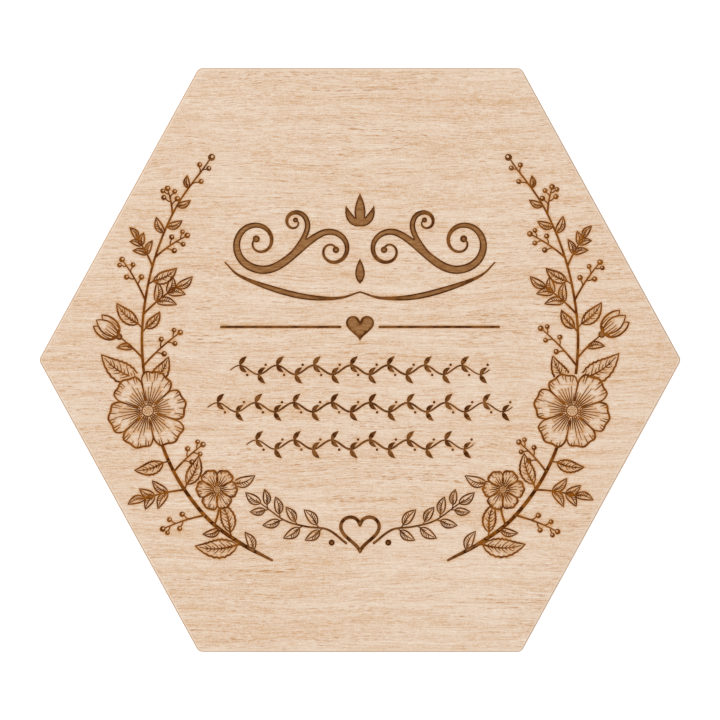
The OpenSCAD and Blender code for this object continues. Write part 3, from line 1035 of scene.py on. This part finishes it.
def sanded_board(node, name, body, shift, tint):
    """A mitred board with sanded-off edges and its grain along its length."""
    solid = merged_copy(node)
    bmesh.ops.dissolve_limit(solid, angle_limit=math.radians(1), verts=solid.verts, edges=solid.edges)
    side = largest_side(solid)
    grain = Vector((-side.y, side.x, 0))
    if grain.x < 0:
        grain.negate()
    low = min(vert.co.z for vert in solid.verts)
    high = max(vert.co.z for vert in solid.verts)

    def is_long_arris(edge):
        """Whether an edge is a corner of the board, at its top or foot, that runs along it."""
        ends = {round(vert.co.z - end, 6) for vert in edge.verts for end in (low, high)}
        return (
            0.0 in ends
            and abs(edge.verts[0].co.z - edge.verts[1].co.z) < LEVEL
            and len(edge.link_faces) == 2
            and edge.calc_face_angle_signed() > math.radians(40)
            and all(abs(face.normal.dot(grain)) < 0.7 for face in edge.link_faces)
        )

    arrises = [edge for edge in solid.edges if is_long_arris(edge)]
    bmesh.ops.bevel(
        solid, geom=arrises, offset=ARRIS * MM, segments=2, profile=0.5, affect="EDGES", clamp_overlap=True
    )
    wood = oak(name.replace("_", " ") + " oak", shift, math.atan2(grain.y, grain.x), tint)
    return new_piece(name, plain_mesh(name, solid), wood, body, node)


# ---------------------------------------------------------------- Geometry Nodes: what repeats

def geometry_tree(name, **inputs):
    """A Geometry Nodes tree with named inputs. Gives its graph, its points and its inputs."""
    tree = bpy.data.node_groups.new(name, "GeometryNodeTree")
    graph = Graph(tree)
    tree.interface.new_socket("Points", in_out="INPUT", socket_type="NodeSocketGeometry")
    for label, kind in inputs.items():
        tree.interface.new_socket(label, in_out="INPUT", socket_type="NodeSocket" + kind)
    tree.interface.new_socket("Mesh", in_out="OUTPUT", socket_type="NodeSocketGeometry")
    sockets = graph.add("NodeGroupInput").outputs
    return graph, sockets["Points"], {label: Value(graph, sockets[label]) for label in inputs}


def give_mesh(graph, geometry, material):
    """Ends a tree: instances made real, the material set, and the mesh given out."""
    real = graph.made("GeometryNodeRealizeInstances", {"Geometry": geometry})
    dressed = graph.made("GeometryNodeSetMaterial", {"Geometry": real, "Material": material})
    graph.add("NodeGroupOutput", {"Mesh": dressed})
    return graph.tree


def grown(tree, points, **values):
    """The plain mesh that a tree makes from a mesh of points."""
    carrier = bpy.data.objects.new(tree.name, points)
    bpy.context.scene.collection.objects.link(carrier)
    modifier = carrier.modifiers.new(tree.name, "NODES")
    modifier.node_group = tree
    for item in tree.interface.items_tree:
        if item.in_out == "INPUT" and item.name in values:
            modifier[item.identifier] = values[item.name]
    shown = carrier.evaluated_get(bpy.context.evaluated_depsgraph_get())
    mesh = bpy.data.meshes.new_from_object(shown)
    carrier.modifiers.remove(modifier)
    bpy.data.objects.remove(carrier)
    return mesh


def point_mesh(places, facings):
    """A mesh of loose points, each with the direction that its copy stands in."""
    mesh = bpy.data.meshes.new("points")
    mesh.from_pydata([tuple(place) for place in places], [], [])
    facing = mesh.attributes.new("facing", "FLOAT_VECTOR", "POINT")
    facing.data.foreach_set("vector", [value for way in facings for value in way])
    return mesh


def upright_points(places):
    return point_mesh(places, [(0, 0, 1)] * len(places))


def ring_grid(graph, rings, sides):
    """A grid to wrap round Z: its mesh, and the ring and the column that each point is in."""
    grid = graph.made("GeometryNodeMeshGrid", {"Vertices X": sides + 1, "Vertices Y": rings})
    index = graph.number("GeometryNodeInputIndex")
    return grid, graph.math("MODULO", index, rings), graph.math("FLOOR", index / rings)


def wrapped(graph, grid, radius, angle, height):
    """The grid wrapped round Z, joined where its sides meet and closed at its ends."""
    place = graph.place(radius * graph.math("COSINE", angle), radius * graph.math("SINE", angle), height)
    shape = graph.made("GeometryNodeSetPosition", {"Geometry": grid, "Position": place})
    return graph.made("GeometryNodeMergeByDistance", {"Geometry": shape, "Distance": SAME_PLACE})


def turned_shape(graph, profile, sides):
    """A turned solid: profile is its radius and height ring by ring, from the foot's middle upwards."""
    rings = len(profile)
    grid, ring_number, column = ring_grid(graph, rings, sides)

    def by_ring(values):
        switch = graph.add("GeometryNodeIndexSwitch", data_type="FLOAT")
        while len(switch.index_switch_items) < rings:
            switch.index_switch_items.new()
        graph.put(switch, {0: ring_number, **dict(enumerate(values, start=1))})
        return Value(graph, switch.outputs[0])

    radius = by_ring([ring_radius for ring_radius, _ in profile])
    height = by_ring([ring_height for _, ring_height in profile])
    return wrapped(graph, grid, radius, column * (2 * math.pi / sides), height)


def z_turned_to(graph, way):
    """The rotation that turns Z to a way."""
    return graph.made("FunctionNodeAlignRotationToVector", {"Vector": way}, axis="Z")


def copies(graph, points, shape):
    """A copy of a shape on each point, its Z turned along the point's facing."""
    facing = graph.made("GeometryNodeInputNamedAttribute", {"Name": "facing"}, data_type="FLOAT_VECTOR")
    inputs = {"Points": points, "Instance": shape, "Rotation": z_turned_to(graph, facing)}
    return graph.made("GeometryNodeInstanceOnPoints", inputs)


def upright_part(graph):
    """How far a face looks upwards, from -1 to 1."""
    return graph.split(graph.made("GeometryNodeInputNormal"))[2]


def joined(graph, *parts):
    node = graph.add("GeometryNodeJoinGeometry")
    for part in reversed(parts):
        graph.tree.links.new(part, node.inputs[0])
    return node.outputs[0]


def fibres(graph, surface, density, length, thick, seed, keep, lowest):
    """Short bent fibres on the faces to keep, leaning all ways and downwards as far as lowest."""
    scattered = graph.add(
        "GeometryNodeDistributePointsOnFaces",
        {"Mesh": surface, "Density": density, "Seed": seed, "Selection": keep},
    ).outputs
    limits = {0: (-1.1, -1.1, lowest), 1: (1.1, 1.1, 0.9), "Seed": seed + 1}
    lean = graph.made("FunctionNodeRandomValue", limits, data_type="FLOAT_VECTOR")
    way = graph.vectors("ADD", scattered["Normal"], lean)
    size = graph.made("FunctionNodeRandomValue", {2: 0.5, 3: 1.3, "Seed": seed + 2}, 1, data_type="FLOAT")
    bow = graph.made("GeometryNodeCurvePrimitiveBezierSegment", {
        "Resolution": 2,
        "Start": (0, 0, 0),
        "Start Handle": (0.35 * length, 0, 0.35 * length),
        "End Handle": (0.3 * length, 0.2 * length, 0.8 * length),
        "End": (-0.1 * length, 0.1 * length, length),
    })
    section = graph.made("GeometryNodeCurvePrimitiveCircle", {"Resolution": 3, "Radius": thick / 2})
    sweep = {"Curve": bow, "Profile Curve": section, "Fill Caps": True}
    strand = graph.made("GeometryNodeCurveToMesh", sweep)
    return graph.made("GeometryNodeInstanceOnPoints", {
        "Points": scattered["Points"], "Instance": strand, "Rotation": z_turned_to(graph, way), "Scale": size,
    })


def screw_tree():
    """Countersunk wood screws with a turned thread and a sawn slot, one on each point."""
    graph, points, size = geometry_tree(
        "wood screws", Length="Float", Head="Float", Shank="Float", Tip="Float", Pitch="Float",
        Slot="Float", Depth="Float", Material="Material",
    )
    rings, sides = 72, 20
    core = 0.72         # radius between two threads, as a share of the shank's
    grid, ring_number, column = ring_grid(graph, rings + 2, sides)
    turn = column / sides
    share = graph.math("MAXIMUM", graph.math("MINIMUM", (ring_number - 1) / (rings - 1), 1), 0)
    height = share * size["Length"]
    tooth = graph.math("PINGPONG", height / size["Pitch"] - turn, 0.5)
    tip = graph.math("MINIMUM", height / size["Tip"], 1)
    shank = size["Shank"] * tip * (tooth * (2 * (1 - core)) + core)
    head = size["Head"] - (size["Length"] - height)
    is_open = graph.math("GREATER_THAN", ring_number, 0.5) * graph.math("LESS_THAN", ring_number, rings + 0.5)
    radius = graph.math("MAXIMUM", shank, head) * is_open
    solid = wrapped(graph, grid, radius, turn * (2 * math.pi), height)

    blade_size = graph.place(size["Slot"], size["Head"] * 3, size["Depth"] * 2)
    blade = graph.made("GeometryNodeMeshCube", {"Size": blade_size})
    at_top = graph.place(0, 0, size["Length"])
    blade = graph.made("GeometryNodeTransform", {"Geometry": blade, "Translation": at_top})
    slotted = graph.made("GeometryNodeMeshBoolean", {0: solid, 1: blade}, operation="DIFFERENCE")
    return give_mesh(graph, copies(graph, points, slotted), size["Material"])


def magnet_tree():
    """Plated disc magnets with a small chamfer, one on each point."""
    graph, points, size = geometry_tree(
        "disc magnets", Radius="Float", Height="Float", Chamfer="Float", Material="Material"
    )
    radius, height, chamfer = size["Radius"], size["Height"], size["Chamfer"]
    inner = radius - chamfer
    profile = [
        (0.0, 0.0), (inner, 0.0), (radius, chamfer),
        (radius, height - chamfer), (inner, height), (0.0, height),
    ]
    return give_mesh(graph, copies(graph, points, turned_shape(graph, profile, 40)), size["Material"])


def foot_tree():
    """Felt pads with a soft edge and loose fibres round it, one on each point."""
    graph, points, size = geometry_tree("felt feet", Radius="Float", Height="Float", Material="Material")
    radius, height = size["Radius"], size["Height"]
    soft = FOOT_EDGE * MM
    belly = 0.1 * MM        # how far in and how high the lower edge's middle lies
    inner = radius - soft
    profile = [
        (0.0, 0.0), (inner, 0.0), (radius - belly, belly), (radius, soft),
        (radius, height - soft), (inner, height), (0.0, height),
    ]
    pad = turned_shape(graph, profile, 28)
    pads = graph.made("GeometryNodeRealizeInstances", {"Geometry": copies(graph, points, pad)})
    on_side = graph.math("LESS_THAN", graph.math("ABSOLUTE", upright_part(graph)), 0.1)
    fluff = fibres(
        graph, pads, density=1.6e6, length=0.5 * MM, thick=0.04 * MM, seed=11, keep=on_side, lowest=0.0
    )
    return give_mesh(graph, joined(graph, pads, fluff), size["Material"])


def nap_tree():
    """The lining with short fibres all over its upper side."""
    graph, points, size = geometry_tree("felt nap", Density="Float", Material="Material")
    on_top = graph.math("GREATER_THAN", upright_part(graph), 0.2)
    nap = fibres(
        graph, points, size["Density"], length=0.9 * MM, thick=0.05 * MM, seed=5, keep=on_top, lowest=-0.6
    )
    return give_mesh(graph, joined(graph, points, nap), size["Material"])


# ---------------------------------------------------------------- where the small pieces are

def solids(node):
    """The corners of each separate solid of a CAD node."""
    merged = merged_copy(node)
    found, seen = [], set()
    for start in merged.verts:
        if start in seen:
            continue
        seen.add(start)
        reached, waiting = [], [start]
        while waiting:
            vert = waiting.pop()
            reached.append(vert.co.copy())
            for edge in vert.link_edges:
                other = edge.other_vert(vert)
                if other not in seen:
                    seen.add(other)
                    waiting.append(other)
        found.append(np.array(reached))
    merged.free()
    return found


def long_axis(corners):
    """The middle of a turned solid's thin end, the way to its thick end, and its length."""
    middle = corners.mean(0)
    way = np.linalg.svd(corners - middle)[2][0]
    run = (corners - middle) @ way
    wide = np.linalg.norm(corners - middle - np.outer(run, way), axis=1)
    if run[np.argmax(wide)] < 0:
        way, run = -way, -run
    rim = corners[run > run.max() - LEVEL]
    top = (rim.min(0) + rim.max(0)) / 2
    length = run.max() - run.min()
    return top - way * length, way, length


def upright_discs(node):
    """Where a node's upright discs stand, and the radius and height of the first."""
    boxes = [(corners.min(0), corners.max(0)) for corners in solids(node)]
    feet = [((low[0] + high[0]) / 2, (low[1] + high[1]) / 2, low[2]) for low, high in boxes]
    low, high = boxes[0]
    return feet, float(high[0] - low[0]) / 2, float(high[2] - low[2])


# ---------------------------------------------------------------- lining

def lining():
    """The padded lining: a soft, slightly uneven top on the CAD outline."""
    step = 4.5 * MM         # between the places of its top
    jitter = 0.2            # how far these are out of their rows, as a share of the step
    margin = 1.6            # mm from the outline to the first of them
    crown, reach = 0.55, 9  # how high it rises, and how far in it has done most of it, in mm
    uneven = 0.09           # mm up or down

    solid = merged_copy("base_lining")
    top = max(vert.co.z for vert in solid.verts)
    loop = open_top(solid, top)
    draw = random.Random(21)
    low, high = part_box("base_lining")
    inside = []
    for row in range(int((high.y - low.y) / step)):
        for column in range(int((high.x - low.x) / step)):
            place = Vector((low.x + (column + 0.5 * (row % 2)) * step, low.y + (row + 0.5) * step))
            place += Vector((draw.uniform(-jitter, jitter), draw.uniform(-jitter, jitter))) * step
            inside.append(place / MM)
    corners = [vert.co.xy for vert in loop]
    edge = np.array([complex(*corner) for corner in corners]) / MM
    way = np.roll(edge, -1) - edge
    way /= np.abs(way)

    def depth(place):
        """How far a place lies inside the outline, in mm."""
        return float(np.min((np.conj(way) * (complex(*place) - edge)).imag))

    places = [corner / MM for corner in corners] + [place for place in inside if depth(place) > margin]
    places, triangles, old_places, _ = triangulated(places, [list(range(len(loop)))], 1e-4)
    verts = []
    for place, mine in zip(places, old_places):
        on_rim = [k for k in mine if k < len(loop)]
        if on_rim:
            verts.append(loop[on_rim[0]])
            continue
        rise = crown * (1 - math.exp(-depth(place) / reach)) + draw.uniform(-uneven, uneven)
        verts.append(solid.verts.new((place.x * MM, place.y * MM, top + rise * MM)))
    for triangle in triangles:
        solid.faces.new([verts[index] for index in triangle])
    return plain_mesh("lining", solid)


# ---------------------------------------------------------------- studio

def is_looked_at(graph):
    """1 where the camera looks, also through a reflection, and 0 for light that falls on something."""
    path = graph.add("ShaderNodeLightPath").outputs
    seen = graph.math("ADD", path["Is Camera Ray"], path["Is Glossy Ray"])
    return graph.math("ADD", seen, path["Is Transmission Ray"], clamp=True)


def white_table():
    """A floor that shows white, with the object's shadow on it, and gives back daylight."""
    paper = bpy.data.materials.new("white table")
    paper.use_nodes = True
    graph = Graph(paper.node_tree)
    matt = graph.made("ShaderNodeBsdfDiffuse", {"Color": srgb(226, 225, 223)})
    shaded = graph.made("ShaderNodeBsdfDiffuse", {"Color": srgb(186, 190, 196)})
    glow = graph.made("ShaderNodeEmission", {"Color": (1, 1, 1, 1), "Strength": 0.7})
    white = graph.made("ShaderNodeAddShader", {0: shaded, 1: glow})
    surface = graph.made("ShaderNodeMixShader", {0: is_looked_at(graph), 1: matt, 2: white})
    graph.add("ShaderNodeOutputMaterial", {"Surface": surface})

    half = 3.0
    corners = [(-half, -half, 0), (half, -half, 0), (half, half, 0), (-half, half, 0)]
    mesh = bpy.data.meshes.new("table top")
    mesh.from_pydata(corners, [], [(0, 1, 2, 3)])
    mesh.materials.append(paper)
    table = bpy.data.objects.new("table_top", mesh)
    bpy.context.scene.collection.objects.link(table)


def white_surround():
    """Even daylight from all round, and plain white where the camera looks past the table."""
    world = bpy.data.worlds.new("studio")
    bpy.context.scene.world = world
    world.use_nodes = True
    graph = Graph(world.node_tree)
    daylight = graph.made("ShaderNodeBackground", {"Color": (1, 1, 1, 1), "Strength": 0.58})
    backdrop = graph.made("ShaderNodeBackground", {"Color": (1, 1, 1, 1), "Strength": 1.0})
    surround = graph.made("ShaderNodeMixShader", {0: is_looked_at(graph), 1: daylight, 2: backdrop})
    graph.add("ShaderNodeOutputWorld", {"Surface": surround})


def soft_lamp(name, size, watts, place):
    """A round lamp that shines at the box."""
    lamp = bpy.data.lights.new(name, "AREA")
    lamp.shape = "DISK"
    lamp.size = size
    lamp.energy = watts
    lamp.color = (1.0, 0.985, 0.965)
    holder = bpy.data.objects.new(name.replace(" ", "_"), lamp)
    holder.location = place
    holder.rotation_mode = "QUATERNION"
    holder.rotation_quaternion = (-holder.location).to_track_quat("-Z", "Y")
    bpy.context.scene.collection.objects.link(holder)


def camera():
    """Straight above the lid, with the front edge at the bottom of the picture."""
    picture_wide = 0.269712     # metres across the picture at the height of the lid
    lens = bpy.data.cameras.new("camera")
    lens.lens = 100
    lens.sensor_width = 36
    eye = bpy.data.objects.new("camera", lens)
    eye.location = (0, 0, LID_HIGH.z + picture_wide * lens.lens / lens.sensor_width)
    bpy.context.scene.collection.objects.link(eye)
    bpy.context.scene.camera = eye


def studio():
    """A camera, a white table and surround, a lamp at the upper left and a weaker one in front."""
    camera()
    white_table()
    white_surround()
    soft_lamp("key lamp", size=1.2, watts=49, place=(-1.4, 1.7, 2.9))
    soft_lamp("fill lamp", size=1.6, watts=20, place=(1.1, -2.4, 1.4))
    bpy.context.scene.view_settings.view_transform = "Standard"


# ---------------------------------------------------------------- putting it together

def make_wood():
    draw_design()
    lid_oak = oak("engraved lid oak", (0.31, 0.12, 0.05), is_engraved=True)
    new_piece("engraved_lid", engraved_lid(), lid_oak, "lid", "lid_panel", crease=32)
    draw = random.Random(4)
    for side in ("front", "front_right", "rear_right", "rear", "rear_left", "front_left"):
        for part, body, slot in (("wall", "box", "wall_oak"), ("lid_rail", "lid", "rail_oak")):
            shift = tuple(draw.uniform(-1, 1) for _ in range(3))
            shade = draw.uniform(0.94, 1.0)
            tint = (shade, shade * 0.99, shade * 0.97, 1)
            sanded_board(f"{part}_{side}", f"oak_{part}_{side}", body, shift, tint)
    repaint("base_panel", oak("base oak", (0.7, 0.2, 0.4), math.pi / 2, (0.93, 0.9, 0.86, 1)))
    tongue = beech("beech tongues")
    repaint("corner_tongues_box", tongue)
    repaint("corner_tongues_lid", tongue)


def make_felt():
    lining_felt = felt("oatmeal felt", srgb(184, 160, 140), srgb(228, 208, 190), 900)
    mesh = grown(nap_tree(), lining(), Density=0.36e6, Material=lining_felt)
    piece = new_piece("felt_lining", mesh, lining_felt, "box", "base_lining", crease=50)

    foot_felt = felt("brown felt", srgb(92, 76, 58), srgb(142, 120, 94), 1300)
    places, radius, height = upright_discs("felt_feet")
    mesh = grown(foot_tree(), upright_points(places), Radius=radius, Height=height, Material=foot_felt)
    feet = new_piece("felt_foot_pads", mesh, foot_felt, "box", "felt_feet", crease=50)


def make_metal():
    hinge_brass = metal(
        "satin brass", srgb(214, 176, 104), srgb(150, 112, 58),
        brush=(3000, 90, 3000), smooth=0.22, rough=0.42,
    )
    for side in ("left", "right"):
        for part in ("box_leaf", "lid_leaf", "pin"):
            repaint(f"hinge_{side}_{part}", hinge_brass)

    screw_brass = metal(
        "polished brass", srgb(226, 188, 112), srgb(168, 126, 66),
        brush=(900, 900, 900), smooth=0.16, rough=0.3,
    )
    tree = screw_tree()
    sizes = {label: size * MM for label, size in SCREW.items()}
    for body in ("box", "lid"):
        node = f"hinge_screws_{body}"
        feet, ways, lengths = zip(*(long_axis(corners) for corners in solids(node)))
        mesh = grown(tree, point_mesh(feet, ways), Length=lengths[0], Material=screw_brass, **sizes)
        new_piece(f"brass_screws_{body}", mesh, screw_brass, body, node)

    nickel = metal(
        "nickel plating", srgb(206, 206, 208), srgb(168, 168, 172),
        brush=(700, 700, 700), smooth=0.12, rough=0.28,
    )
    tree = magnet_tree()
    sizes = {"Chamfer": MAGNET_CHAMFER * MM}
    for body in ("box", "lid"):
        node = f"catch_magnets_{body}"
        places, radius, height = upright_discs(node)
        mesh = grown(tree, upright_points(places), Radius=radius, Height=height, Material=nickel, **sizes)
        new_piece(f"nickel_magnets_{body}", mesh, nickel, body, node)


studio()
make_wood()
make_felt()
make_metal()
